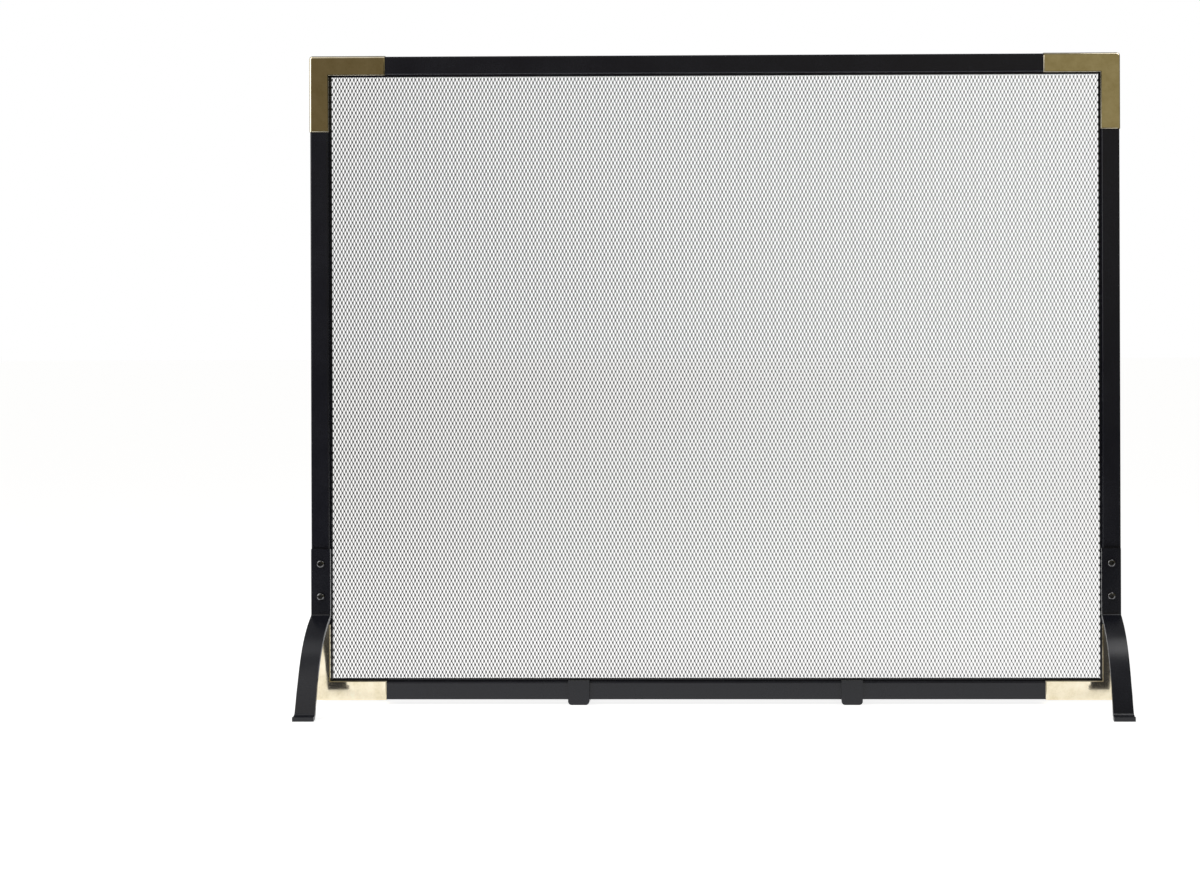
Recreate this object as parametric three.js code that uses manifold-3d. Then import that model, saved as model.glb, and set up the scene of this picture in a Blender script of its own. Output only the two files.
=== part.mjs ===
// Free-standing single-panel fireplace screen.
// A mitred frame of square steel tube holds a steel mesh sheet in four slim U channels. A pressed brass cap
// covers each corner of the frame. Two arched flat-bar legs are bolted to the front of the stiles, and two
// cast rest feet hook over the bottom rail and run back along the hearth, so that the screen stands alone.
//
// Millimetres. +X is to the right as seen from the room, +Y goes back towards the fire and +Z is up.
// The origin is on the hearth, at the centre of the ground that the whole screen covers.

import * as THREE from "three";
import { mergeVertices } from "three/addons/utils/BufferGeometryUtils.js";
import Module from "manifold-3d";

const wasm = await Module();
wasm.setup();

// ---------- driving dimensions ----------

const frame = { width: 990, height: 788, clearance: 6 }; // clearance: hearth to the underside of the bottom rail
const tube = { side: 22, wall: 1.2, radius: 2 };
const mitreGap = 0.15; // each member stops this far short of the corner's diagonal
const fit = 0.1; // gap between pieces that touch in the real screen

// depth runs front to back and lip stands in from the tube
const channel = { depth: 6, groove: 1.6, lip: 2.2, web: 0.8 };
// a plain sheet with the mass of the open mesh, bitten by each channel
const mesh = { thickness: 0.3, bite: 1.2 };

const cap = { arm: 92, thickness: 0.8 };

const bolt = {
  radius: 2.5,
  headRadius: 4.75,
  headHeight: 2.75,
  socketRadius: 1.75,
  socketDepth: 1.6,
  length: 34,
  hole: 2.75,
};
const washer = { outer: 5.2, inner: 2.75, thickness: 1 };
const capNut = { acrossFlats: 8, hexHeight: 4, domeRadius: 3.7, domeHeight: 4, bore: 2.65, crown: 2 };

const leg = {
  centre: 482.5, // from the middle of the screen to the middle of the bar
  width: 23.4,
  thickness: 5,
  top: 191, // height of the plate's upper end
  bend: 112, // height where the plate starts to turn forward
  bendRadius: 5,
  archSlope: [20, 67], // degrees below the horizontal where the arch starts and where it ends
  archPull: 55, // length of the arch's handles, which sets how full it is
  reach: 108, // from the middle of the plate to the tip of the toe
  boltHeights: [133, 173],
  toeRadius: 9,
  toeFlat: 6,
  toeWidth: 25.4,
  toeFlare: 30,
  toeCorner: 8,
};

const restFoot = {
  spacing: 334,
  width: 26,
  wall: 3,
  hookThickness: 1.5,
  hookReach: 7,
  backHeight: 23,
  tailEnd: 95, // how far the tail reaches behind the middle of the frame
  tailTip: 5,
  tailRoot: 9,
  heel: 22,
  relief: 1.5, // the sole is hollowed this much between the front of the foot and its heel
  soleCorner: 4.5,
  tailCorner: 9,
  screwHeight: 17,
};
const footScrew = { radius: 2, headRadius: 3.8, headHeight: 2.2, socketRadius: 1.4, socketDepth: 1.3, length: 8 };

// ---------- values that follow from them ----------

const half = tube.side / 2;
const frameMid = frame.clearance + frame.height / 2;
const legFront = half + fit + leg.thickness; // front face of a leg's plate, ahead of the frame's middle
const toeTip = -half - fit - leg.thickness / 2 - leg.reach; // along y
const round = 24; // facets on a small turned piece

// ---------- drawings and solids ----------

function toSolid(geometry) {
  const bare = geometry.clone();
  bare.deleteAttribute("normal");
  bare.deleteAttribute("uv");
  const merged = mergeVertices(bare, 1e-4);
  return new wasm.Manifold(
    new wasm.Mesh({
      numProp: 3,
      vertProperties: merged.attributes.position.array,
      triVerts: new Uint32Array(merged.index.array),
    }),
  );
}

function toGeometry(solid) {
  const { vertProperties, triVerts } = solid.getMesh();
  const geometry = new THREE.BufferGeometry()
    .setAttribute("position", new THREE.BufferAttribute(vertProperties, 3))
    .setIndex(new THREE.BufferAttribute(triVerts, 1));
  geometry.computeVertexNormals();
  return geometry;
}

const cut = (body, ...tools) => tools.reduce((left, tool) => left.subtract(toSolid(tool)), body);

// A drawing of the front view (x, z), given its depth towards the back from the plane y = front.
function frontExtrude(shape, depth, front, curveSegments = 6) {
  const geometry = new THREE.ExtrudeGeometry(shape, { depth, bevelEnabled: false, curveSegments });
  return geometry.rotateX(Math.PI / 2).translate(0, front + depth, 0);
}

// A drawing of the side view (y, z), given its width across x, centred on x = 0.
function sideExtrude(shape, width, curveSegments = 6) {
  const geometry = new THREE.ExtrudeGeometry(shape, { depth: width, bevelEnabled: false, curveSegments });
  return geometry.translate(0, 0, -width / 2).rotateZ(Math.PI / 2).rotateY(Math.PI / 2);
}

// A drawing of the plan (x, y), given its height.
function planExtrude(shape, height, curveSegments = 6) {
  return new THREE.ExtrudeGeometry(shape, { depth: height, bevelEnabled: false, curveSegments });
}

function outline(points) {
  return new THREE.Shape(points.map(([x, y]) => new THREE.Vector2(x, y)));
}

function box(x0, x1, y0, y1, z0, z1) {
  return new THREE.BoxGeometry(x1 - x0, y1 - y0, z1 - z0).translate((x0 + x1) / 2, (y0 + y1) / 2, (z0 + z1) / 2);
}

// A rod or a drill along y, from y0 to y1, round the point (x, z).
function rod(radius, y0, y1, x = 0, z = 0, facets = round) {
  return new THREE.CylinderGeometry(radius, radius, y1 - y0, facets).translate(x, (y0 + y1) / 2, z);
}

// A turned piece on the y axis, from its profile of [radius, y] points, which rises from the axis back to it.
function turned(points) {
  return new THREE.LatheGeometry(points.map(([r, y]) => new THREE.Vector2(r, y)), round);
}

// ---------- materials ----------

const blackCoat = new THREE.MeshStandardMaterial({ color: 0x1b1b1d, roughness: 0.55, metalness: 0.2 });
const meshCoat = new THREE.MeshStandardMaterial({ color: 0x2a2a2a, roughness: 0.6, metalness: 0.4 });
const brass = new THREE.MeshStandardMaterial({ color: 0xb4924f, roughness: 0.18, metalness: 1 });
const blackOxide = new THREE.MeshStandardMaterial({ color: 0x222224, roughness: 0.35, metalness: 0.8 });

const screen = new THREE.Group();
screen.name = "fireplace_screen";

// Everything is drawn round the middle plane of the frame, and the assembly then moves back so that the origin
// lies midway between the toes of the legs and the tails of the rest feet.
const assembly = new THREE.Group();
screen.add(assembly);

function add(name, body, material, parent = assembly) {
  const piece = new THREE.Mesh(body.isBufferGeometry ? body : toGeometry(body), material);
  piece.name = name;
  parent.add(piece);
  return piece;
}

// ---------- frame: four mitred square tubes ----------

// The section of one wall of a tube: side is its width across the flats and radius rounds its corners.
function roundedSquare(PathType, side, radius) {
  const flat = side / 2 - radius;
  const path = new PathType();
  path.moveTo(flat, -side / 2);
  path.absarc(flat, -flat, radius, -Math.PI / 2, 0, false);
  path.absarc(flat, flat, radius, 0, Math.PI / 2, false);
  path.absarc(-flat, flat, radius, Math.PI / 2, Math.PI, false);
  path.absarc(-flat, -flat, radius, Math.PI, Math.PI * 1.5, false);
  path.closePath();
  return path;
}

// The block that a member of the frame is mitred by: outer edge at z = 0, inner edges towards -z.
function mitreBlock(length, reach, depth) {
  const outer = length / 2 - mitreGap;
  const trapezium = outline([
    [-outer - reach, reach],
    [-outer + reach, -reach],
    [outer - reach, -reach],
    [outer + reach, reach],
  ]);
  return toSolid(frontExtrude(trapezium, depth, -depth / 2));
}

// A tube along x, its outer face at z = 0, with holes drilled through from y0 to y1 at the stated places.
function frameMember(length, holes = []) {
  const section = roundedSquare(THREE.Shape, tube.side, tube.radius);
  section.holes.push(roundedSquare(THREE.Path, tube.side - 2 * tube.wall, tube.radius - tube.wall));
  const bar = new THREE.ExtrudeGeometry(section, { depth: length, bevelEnabled: false, curveSegments: 4 })
    .translate(0, 0, -length / 2)
    .rotateY(Math.PI / 2)
    .translate(0, 0, -half);
  const drills = holes.map(({ x, z, y0, y1, radius }) => rod(radius, y0, y1, x, z));
  return cut(toSolid(bar).intersect(mitreBlock(length, tube.side + 1, tube.side + 2)), ...drills);
}

// A quarter turn about y carries each member from the top of the frame to the next side, clockwise.
function sideOfFrame(turns) {
  const side = new THREE.Group();
  side.position.z = frameMid;
  side.rotation.y = (turns * Math.PI) / 2;
  assembly.add(side);
  return side;
}

const sides = { top: sideOfFrame(0), right: sideOfFrame(1), bottom: sideOfFrame(2), left: sideOfFrame(3) };
const outerEdge = { top: frame.height / 2, bottom: frame.height / 2, left: frame.width / 2, right: frame.width / 2 };

const throughBolts = (sign) =>
  leg.boltHeights.map((height) => ({
    x: sign * (height - frameMid),
    z: leg.centre - frame.width / 2,
    y0: -half - 1,
    y1: half + 1,
    radius: bolt.hole,
  }));
const footScrewHoles = [-1, 1].map((sign) => ({
  x: (sign * restFoot.spacing) / 2,
  z: frame.clearance - restFoot.screwHeight, // the bottom rail's group is upside down
  y0: half - tube.wall - 1,
  y1: half + 1,
  radius: footScrew.radius + fit,
}));

add("top_rail", frameMember(frame.width), blackCoat, sides.top).position.z = outerEdge.top;
add("right_stile", frameMember(frame.height, throughBolts(-1)), blackCoat, sides.right).position.z = outerEdge.right;
add("left_stile", frameMember(frame.height, throughBolts(1)), blackCoat, sides.left).position.z = outerEdge.left;
add("bottom_rail", frameMember(frame.width, footScrewHoles), blackCoat, sides.bottom).position.z = outerEdge.bottom;

// ---------- mesh sheet and the channels that grip it ----------

// A U channel along x, its back on the tube at z = 0 and its lips towards -z.
function meshChannel(length) {
  const [end, side, lip] = [length / 2, channel.depth / 2, channel.groove / 2];
  const bar = toSolid(box(-end, end, -side, side, -channel.lip, 0));
  const slot = box(-end - 1, end + 1, -lip, lip, -channel.lip - 1, -channel.web);
  return cut(bar, slot).intersect(mitreBlock(length, channel.lip + 1, channel.depth + 2));
}

const opening = { width: frame.width - 2 * tube.side - 2 * fit, height: frame.height - 2 * tube.side - 2 * fit };
for (const [side, length] of Object.entries({
  top: opening.width,
  right: opening.height,
  bottom: opening.width,
  left: opening.height,
})) {
  const channelPiece = add(`mesh_channel_${side}`, meshChannel(length), blackCoat, sides[side]);
  channelPiece.position.z = outerEdge[side] - tube.side - fit;
}

const sheetInset = 2 * (channel.lip - mesh.bite);
const sheet = new THREE.BoxGeometry(opening.width - sheetInset, mesh.thickness, opening.height - sheetInset);
add("mesh_panel", sheet, meshCoat).position.z = frameMid;

// ---------- brass corner caps ----------

// An L in the front view, with its outer corner at the origin and arms of the given length and width
// along +x and -z. The inset moves every edge of the L inwards except the arms' ends.
function cornerL(arm, width, inset) {
  return outline([
    [inset, -inset],
    [arm, -inset],
    [arm, inset - width],
    [width - inset, inset - width],
    [width - inset, -arm],
    [inset, -arm],
  ]);
}

// A pressed shell over the front, outer and inner faces of the corner, open at the back. Its inner walls stop
// ahead of the mesh channels.
function cornerCap() {
  const skin = cap.thickness + fit;
  const width = tube.side + 2 * skin;
  const front = -half - skin;
  const shell = toSolid(frontExtrude(cornerL(cap.arm + skin, width, 0), half - front, front));
  const cavity = frontExtrude(cornerL(cap.arm + skin + 1, width, cap.thickness), tube.side + 2, -half - fit);
  const channelFront = -channel.depth / 2 - fit;
  const innerFace = width - cap.thickness - fit;
  const behind = frontExtrude(
    outline([
      [innerFace, -innerFace],
      [cap.arm + skin + 1, -innerFace],
      [cap.arm + skin + 1, -cap.arm - skin - 1],
      [innerFace, -cap.arm - skin - 1],
    ]),
    tube.side,
    channelFront,
  );
  return cut(shell, cavity, behind).translate([-skin, 0, skin]);
}

const corners = [
  ["top_left", -1, 1],
  ["top_right", 1, 1],
  ["bottom_right", 1, -1],
  ["bottom_left", -1, -1],
];
corners.forEach(([corner, right, up], turns) => {
  const piece = add(`corner_cap_${corner}`, cornerCap(), brass);
  piece.rotation.y = (turns * Math.PI) / 2;
  piece.position.set((right * frame.width) / 2, 0, frameMid + (up * frame.height) / 2);
});

// ---------- legs: arched flat bar ----------

// Stations along the bar's centreline in the side view: how far forward of the plate, how high, and the slope
// below the horizontal there.
function turn(from, radius, slope, steps) {
  const signed = radius * Math.sign(slope - from.slope);
  return Array.from({ length: steps }, (_, i) => {
    const now = from.slope + ((slope - from.slope) * (i + 1)) / steps;
    return {
      forward: from.forward + signed * (Math.sin(now) - Math.sin(from.slope)),
      height: from.height - signed * (Math.cos(from.slope) - Math.cos(now)),
      slope: now,
    };
  });
}

function arch(from, to, steps) {
  const handle = ({ forward, height, slope }, pull) =>
    new THREE.Vector2(forward + pull * Math.cos(slope), height - pull * Math.sin(slope));
  const curve = new THREE.CubicBezierCurve(
    handle(from, 0),
    handle(from, leg.archPull),
    handle(to, -leg.archPull),
    handle(to, 0),
  );
  return Array.from({ length: steps }, (_, i) => {
    const t = (i + 1) / steps;
    const point = curve.getPoint(t);
    const tangent = curve.getTangent(t);
    return { forward: point.x, height: point.y, slope: Math.atan2(-tangent.y, tangent.x) };
  });
}

function legStations() {
  const [archStart, archEnd] = leg.archSlope.map(THREE.MathUtils.degToRad);
  const top = { forward: 0, height: leg.top, slope: Math.PI / 2 };
  const plateEnd = { ...top, height: leg.bend };
  const bend = turn(plateEnd, leg.bendRadius, archStart, 6);
  const toeStart = {
    forward: leg.reach - leg.toeFlat - leg.toeRadius * Math.sin(archEnd),
    height: leg.thickness / 2 + leg.toeRadius * (1 - Math.cos(archEnd)),
    slope: archEnd,
  };
  const curl = turn(toeStart, leg.toeRadius, 0, 6);
  const tip = { forward: leg.reach, height: leg.thickness / 2, slope: 0 };
  return [top, plateEnd, ...bend, ...arch(bend.at(-1), toeStart, 16), ...curl, tip];
}

// Both faces of the bar, half its thickness either side of the centreline, in the side view (y, z).
function legSide() {
  const face = (side) =>
    legStations().map(({ forward, height, slope }) => [
      -half - fit - leg.thickness / 2 - forward - (side * leg.thickness * Math.sin(slope)) / 2,
      height + (side * leg.thickness * Math.cos(slope)) / 2,
    ]);
  return outline([...face(-1), ...face(1).reverse()]);
}

// The bar seen from above: it widens towards the toe, whose corners are rounded.
function legPlan() {
  const [edge, toeEdge, corner] = [leg.width / 2, leg.toeWidth / 2, leg.toeCorner];
  const plan = new THREE.Shape();
  plan.moveTo(edge, 0);
  plan.lineTo(-edge, 0);
  plan.lineTo(-edge, toeTip + leg.toeFlare);
  plan.lineTo(-toeEdge, toeTip + 2 * corner);
  plan.absarc(-toeEdge + corner, toeTip + corner, corner, Math.PI, Math.PI * 1.5, false);
  plan.absarc(toeEdge - corner, toeTip + corner, corner, Math.PI * 1.5, Math.PI * 2, false);
  plan.lineTo(toeEdge, toeTip + 2 * corner);
  plan.lineTo(edge, toeTip + leg.toeFlare);
  plan.closePath();
  return plan;
}

function legBar() {
  const bar = toSolid(sideExtrude(legSide(), leg.toeWidth + 2));
  const drills = leg.boltHeights.map((z) => rod(bolt.hole, -legFront - 1, -half + 1, 0, z));
  return cut(bar.intersect(toSolid(planExtrude(legPlan(), leg.top + 1))), ...drills);
}

for (const [side, sign] of [["left", -1], ["right", 1]]) {
  add(`${side}_leg`, legBar(), blackCoat).position.x = sign * leg.centre;
}

// ---------- leg fasteners: button-head bolt from the front, washer and cap nut behind ----------

// The head's underside is at y = 0, its socket faces -y and its shank runs towards +y.
function buttonHead({ radius, headRadius, headHeight, socketRadius, socketDepth, length }) {
  const crown = headRadius * 0.45; // radius of the flat on top of the head
  const rim = headHeight * 0.15;
  const dome = Array.from({ length: 6 }, (_, i) => {
    const angle = (1 - i / 5) * (Math.PI / 2);
    return [crown + (headRadius - crown) * Math.cos(angle), -rim - (headHeight - rim) * Math.sin(angle)];
  });
  const body = turned([
    [0, -headHeight],
    ...dome,
    [headRadius, 0],
    [radius, 0],
    [radius, length - 0.5],
    [radius - 0.5, length],
    [0, length],
  ]);
  return cut(toSolid(body), rod(socketRadius, -headHeight - 1, socketDepth - headHeight, 0, 0, 6));
}

function ringWasher() {
  return cut(toSolid(rod(washer.outer, 0, washer.thickness)), rod(washer.inner, -1, washer.thickness + 1));
}

// A closed nut, its flat base at y = 0 and its dome towards +y.
function domedNut() {
  const { acrossFlats, hexHeight, domeRadius, domeHeight, bore, crown } = capNut;
  const dome = Array.from({ length: 6 }, (_, i) => {
    const angle = (i / 6) * (Math.PI / 2);
    return [domeRadius * Math.cos(angle), hexHeight + domeHeight * Math.sin(angle)];
  });
  const top = hexHeight + domeHeight;
  const body = toSolid(turned([[0, 0], [domeRadius, 0], ...dome, [0, top]]));
  const hex = toSolid(rod(acrossFlats / Math.sqrt(3), 0, hexHeight, 0, 0, 6));
  return cut(hex.add(body), rod(bore, -1, top - crown));
}

for (const [side, sign] of [["left", -1], ["right", 1]]) {
  leg.boltHeights.forEach((height, i) => {
    const level = ["lower", "upper"][i];
    const x = sign * leg.centre;
    add(`${side}_${level}_bolt`, buttonHead(bolt), blackOxide).position.set(x, -legFront - fit, height);
    add(`${side}_${level}_washer`, ringWasher(), blackOxide).position.set(x, half + fit, height);
    add(`${side}_${level}_nut`, domedNut(), blackOxide).position.set(x, half + washer.thickness + 2 * fit, height);
  });
}

// ---------- rest feet: a saddle hooked over the bottom rail, with a tail along the hearth ----------

function footSide() {
  const back = half + fit + restFoot.wall;
  const [heelStart, hookEnd] = [restFoot.tailEnd - restFoot.heel, -half + restFoot.hookReach];
  const [railBase, railTop] = [frame.clearance - fit, frame.clearance + tube.side + fit];
  const hookTop = railTop + restFoot.hookThickness;
  return outline([
    [-back, 0],
    [back, 0],
    [back + restFoot.relief, restFoot.relief],
    [heelStart, restFoot.relief],
    [heelStart + restFoot.relief, 0],
    [restFoot.tailEnd, 0],
    [restFoot.tailEnd, restFoot.tailTip],
    [back + restFoot.wall, restFoot.tailRoot],
    [back, restFoot.tailRoot + restFoot.wall],
    [back, restFoot.backHeight],
    [half + fit, restFoot.backHeight],
    [half + fit, railBase],
    [-half - fit, railBase],
    [-half - fit, railTop],
    [hookEnd, railTop],
    [hookEnd, hookTop],
    [-back + 1, hookTop],
    [-back, hookTop - 1],
  ]);
}

// The front view: straight sides, with the two corners at the sole rounded.
function footFront() {
  const [edge, corner, height] = [restFoot.width / 2, restFoot.soleCorner, frame.clearance + tube.side * 2];
  const front = new THREE.Shape();
  front.moveTo(-edge, height);
  front.lineTo(-edge, corner);
  front.absarc(-edge + corner, corner, corner, Math.PI, Math.PI * 1.5, false);
  front.absarc(edge - corner, corner, corner, Math.PI * 1.5, Math.PI * 2, false);
  front.lineTo(edge, height);
  front.closePath();
  return front;
}

function footPlan() {
  const [edge, corner, end] = [restFoot.width / 2, restFoot.tailCorner, restFoot.tailEnd];
  const plan = new THREE.Shape();
  plan.moveTo(-edge, -tube.side);
  plan.lineTo(edge, -tube.side);
  plan.absarc(edge - corner, end - corner, corner, 0, Math.PI / 2, false);
  plan.absarc(-edge + corner, end - corner, corner, Math.PI / 2, Math.PI, false);
  plan.closePath();
  return plan;
}

function footBody() {
  const depth = restFoot.tailEnd + tube.side * 2;
  const body = toSolid(sideExtrude(footSide(), restFoot.width + 2))
    .intersect(toSolid(frontExtrude(footFront(), depth, -tube.side)))
    .intersect(toSolid(planExtrude(footPlan(), tube.side * 2).translate(0, 0, -1)));
  const drill = rod(footScrew.radius + fit, half - 1, half + restFoot.wall + 2, 0, restFoot.screwHeight);
  return cut(body, drill);
}

for (const [side, sign] of [["left", -1], ["right", 1]]) {
  const x = (sign * restFoot.spacing) / 2;
  add(`${side}_rest_foot`, footBody(), blackCoat).position.x = x;
  const screw = add(`${side}_rest_foot_screw`, buttonHead(footScrew), blackOxide);
  screw.position.set(x, half + restFoot.wall + 2 * fit, restFoot.screwHeight);
  screw.rotation.z = Math.PI; // driven in from behind
}

assembly.position.y = -(toeTip + restFoot.tailEnd) / 2;

export default screen;
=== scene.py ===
import math

import bmesh
import bpy
from mathutils import Matrix, Vector


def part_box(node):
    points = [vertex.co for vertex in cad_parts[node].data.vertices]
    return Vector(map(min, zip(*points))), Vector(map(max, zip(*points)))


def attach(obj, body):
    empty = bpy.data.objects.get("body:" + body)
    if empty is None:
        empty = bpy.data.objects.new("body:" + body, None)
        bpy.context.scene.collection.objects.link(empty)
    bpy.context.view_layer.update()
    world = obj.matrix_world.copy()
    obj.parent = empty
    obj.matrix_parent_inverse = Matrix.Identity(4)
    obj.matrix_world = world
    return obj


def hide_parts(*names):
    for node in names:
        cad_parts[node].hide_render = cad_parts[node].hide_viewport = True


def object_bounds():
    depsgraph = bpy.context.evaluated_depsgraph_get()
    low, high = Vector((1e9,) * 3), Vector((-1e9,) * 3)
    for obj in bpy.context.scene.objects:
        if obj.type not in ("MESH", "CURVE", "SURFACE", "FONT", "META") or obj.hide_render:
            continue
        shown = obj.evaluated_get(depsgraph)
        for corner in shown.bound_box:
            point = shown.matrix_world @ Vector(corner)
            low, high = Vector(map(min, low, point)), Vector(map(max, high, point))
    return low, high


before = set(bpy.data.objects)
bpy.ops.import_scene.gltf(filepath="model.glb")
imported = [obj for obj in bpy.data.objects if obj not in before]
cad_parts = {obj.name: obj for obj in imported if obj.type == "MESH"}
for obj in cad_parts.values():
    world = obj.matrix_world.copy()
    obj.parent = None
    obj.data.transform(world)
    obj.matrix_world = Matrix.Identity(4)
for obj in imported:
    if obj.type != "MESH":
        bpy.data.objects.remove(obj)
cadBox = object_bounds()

mm = 0.001
near = 0.01 * mm  # what counts as the same place
over = 1 * mm  # how far a cutting tool stands past what it cuts


# small helpers

def onlySelect(piece):
    bpy.ops.object.select_all(action="DESELECT")
    piece.select_set(True)
    bpy.context.view_layer.objects.active = piece


def selectInside(piece, kind, wanted):
    # opens the piece in edit mode with just the wanted faces, edges or vertices selected
    onlySelect(piece)
    bpy.ops.object.mode_set(mode="EDIT")
    bpy.ops.mesh.select_mode(type=kind)
    bpy.ops.mesh.select_all(action="DESELECT")
    mesh = bmesh.from_edit_mesh(piece.data)
    group = {"FACE": mesh.faces, "EDGE": mesh.edges, "VERT": mesh.verts}[kind]
    for element in [item for item in group if wanted(item)]:
        element.select_set(True)
    bmesh.update_edit_mesh(piece.data)


def leaveEdit():
    bpy.ops.object.mode_set(mode="OBJECT")


def applyPlace(piece):
    onlySelect(piece)
    bpy.ops.object.transform_apply(location=True, rotation=True, scale=True)


def addBlock(low, high):
    low, high = Vector(low), Vector(high)
    bpy.ops.object.select_all(action="DESELECT")
    bpy.ops.mesh.primitive_cube_add(size=1, location=(low + high) / 2, scale=high - low)
    block = bpy.context.object
    applyPlace(block)
    return block


def addRod(radius, start, end, x=0.0, z=0.0, sides=48):
    # a cylinder along y
    bpy.ops.object.select_all(action="DESELECT")
    bpy.ops.mesh.primitive_cylinder_add(
        vertices=sides, radius=radius, depth=end - start,
        location=(x, (start + end) / 2, z), rotation=(math.pi / 2, 0, 0),
    )
    rod = bpy.context.object
    applyPlace(rod)
    return rod


def applyModifier(piece, kind, **values):
    modifier = piece.modifiers.new(kind.title(), kind)
    for key, value in values.items():
        setattr(modifier, key, value)
    onlySelect(piece)
    bpy.ops.object.modifier_apply(modifier=modifier.name)


def throwAway(piece):
    mesh = piece.data
    bpy.data.objects.remove(piece)
    bpy.data.meshes.remove(mesh)


def combine(piece, tool, operation):
    applyModifier(piece, "BOOLEAN", object=tool, operation=operation, solver="EXACT")
    throwAway(tool)


def roundEdges(piece, wanted, width, segments=4):
    selectInside(piece, "EDGE", wanted)
    bpy.ops.mesh.bevel(offset=width, offset_type="OFFSET", segments=segments, profile=0.5, affect="EDGES")
    leaveEdit()


def ease(piece, width, angle=40, segments=3):
    # takes the sharpness off every edge that turns more than the angle
    applyModifier(
        piece, "BEVEL", width=width, segments=segments, limit_method="ANGLE",
        angle_limit=math.radians(angle), use_clamp_overlap=True, harden_normals=False,
    )


def copyOf(piece):
    twin = piece.copy()
    twin.data = piece.data.copy()
    bpy.context.collection.objects.link(twin)
    return twin


def handOver(piece, name, node, material, smooth=32, evenShine=True):
    # names a finished piece, gives it its finish and puts it in its CAD node's place
    piece.name = name
    piece.data.name = name
    piece.data.materials.clear()
    piece.data.materials.append(material)
    onlySelect(piece)
    bpy.ops.object.shade_smooth_by_angle(angle=math.radians(smooth))
    if evenShine:  # flat faces stay flat beside their rounded edges
        applyModifier(piece, "WEIGHTED_NORMAL", keep_sharp=True)
    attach(piece, "root")
    if node:
        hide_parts(node)
    return piece


# camera

cameraSet = {
    "aside": 84 * mm,  # to the right of the middle of the frame
    "height": 500 * mm,
    "distance": 2740.7 * mm,  # from the front face of the frame
    "lens": 67.3,
    "roll": math.radians(0.185),
    "turn": math.radians(0.976),  # a little to the left
    "shift": (-0.1205, -0.1197),
}

railLow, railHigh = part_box("top_rail")
frameFront, frameBack = railLow.y, railHigh.y
frameMid = (frameFront + frameBack) / 2


def makeCamera():
    bpy.ops.object.camera_add(
        location=(cameraSet["aside"], frameFront - cameraSet["distance"], cameraSet["height"]),
        rotation=(math.pi / 2, cameraSet["roll"], cameraSet["turn"]),
    )
    camera = bpy.context.object
    camera.name = "roomCamera"
    camera.data.lens = cameraSet["lens"]
    camera.data.sensor_width = 36
    camera.data.shift_x, camera.data.shift_y = cameraSet["shift"]
    camera.data.clip_end = 60
    bpy.context.scene.camera = camera


# materials

class Finish:
    # a thin wrapper that keeps the node code short
    def __init__(self, name):
        self.material = bpy.data.materials.new(name)
        self.material.use_nodes = True
        self.tree = self.material.node_tree
        self.shader = self.tree.nodes["Principled BSDF"]
        self.place = self.add("ShaderNodeTexCoord").outputs["Object"]

    def add(self, kind, **values):
        node = self.tree.nodes.new(kind)
        for key, value in values.items():
            setattr(node, key, value)
        return node

    def link(self, source, target):
        self.tree.links.new(source, target)

    def feed(self, socket, source):
        self.link(source, self.shader.inputs[socket])

    def fixed(self, **values):
        for key, value in values.items():
            self.shader.inputs[key.replace("_", " ")].default_value = value

    def noise(self, scale, detail=4, roughness=0.5, stretch=(1, 1, 1)):
        mapping = self.add("ShaderNodeMapping")
        mapping.inputs["Scale"].default_value = stretch
        self.link(self.place, mapping.inputs["Vector"])
        node = self.add("ShaderNodeTexNoise")
        node.inputs["Scale"].default_value = scale
        node.inputs["Detail"].default_value = detail
        node.inputs["Roughness"].default_value = roughness
        self.link(mapping.outputs["Vector"], node.inputs["Vector"])
        return node.outputs["Fac"]

    def ramp(self, source, stops):
        node = self.add("ShaderNodeValToRGB")
        elements = node.color_ramp.elements
        while len(elements) < len(stops):
            elements.new(0.5)
        for element, (position, colour) in zip(elements, stops):
            element.position = position
            element.color = (*colour, 1) if isinstance(colour, tuple) else (colour, colour, colour, 1)
        self.link(source, node.inputs["Fac"])
        return node.outputs["Color"]

    def spread(self, source, low, high, start=0.3, end=0.7):
        node = self.add("ShaderNodeMapRange")
        node.inputs["From Min"].default_value = start
        node.inputs["From Max"].default_value = end
        node.inputs["To Min"].default_value = low
        node.inputs["To Max"].default_value = high
        self.link(source, node.inputs["Value"])
        return node.outputs["Result"]

    def maths(self, operation, first, second=None):
        node = self.add("ShaderNodeMath", operation=operation)
        for socket, value in zip(node.inputs, (first, second)):
            if value is None:
                continue
            if isinstance(value, (int, float)):
                socket.default_value = value
            else:
                self.link(value, socket)
        return node.outputs["Value"]

    def mix(self, amount, first, second, kind="RGBA"):
        node = self.add("ShaderNodeMix", data_type=kind)
        sockets = [s for s in node.inputs if s.enabled]
        result = [s for s in node.outputs if s.enabled][0]
        for socket, value in zip(sockets, (amount, first, second)):
            if isinstance(value, tuple):
                socket.default_value = (*value, 1)
            elif isinstance(value, (int, float)):
                socket.default_value = value
            else:
                self.link(value, socket)
        return result

    def bump(self, height, distance, strength=1.0, under=None):
        node = self.add("ShaderNodeBump")
        node.inputs["Strength"].default_value = strength
        node.inputs["Distance"].default_value = distance
        self.link(height, node.inputs["Height"])
        if under:
            self.link(under, node.inputs["Normal"])
        return node.outputs["Normal"]


coatLook = {
    "frameBlack": ((0.0048, 0.0052, 0.0095), (0.0085, 0.0092, 0.0145)),
    "legBlack": ((0.0046, 0.005, 0.009), (0.008, 0.0088, 0.0135)),
    "roughness": 0.24,
    "shine": 0.42,
    "cloudScale": 14,
    "skinScale": 700,
    "grainScale": 2600,
    "cloudRoughness": (-0.04, 0.06),
    "grainRoughness": (-0.03, 0.03),
    "dust": 0.35,  # how much of the lighter tone the grain brings out
    "skinBump": (0.05 * mm, 0.35),  # distance and strength
    "grainBump": (0.01 * mm, 0.3),
}


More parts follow.
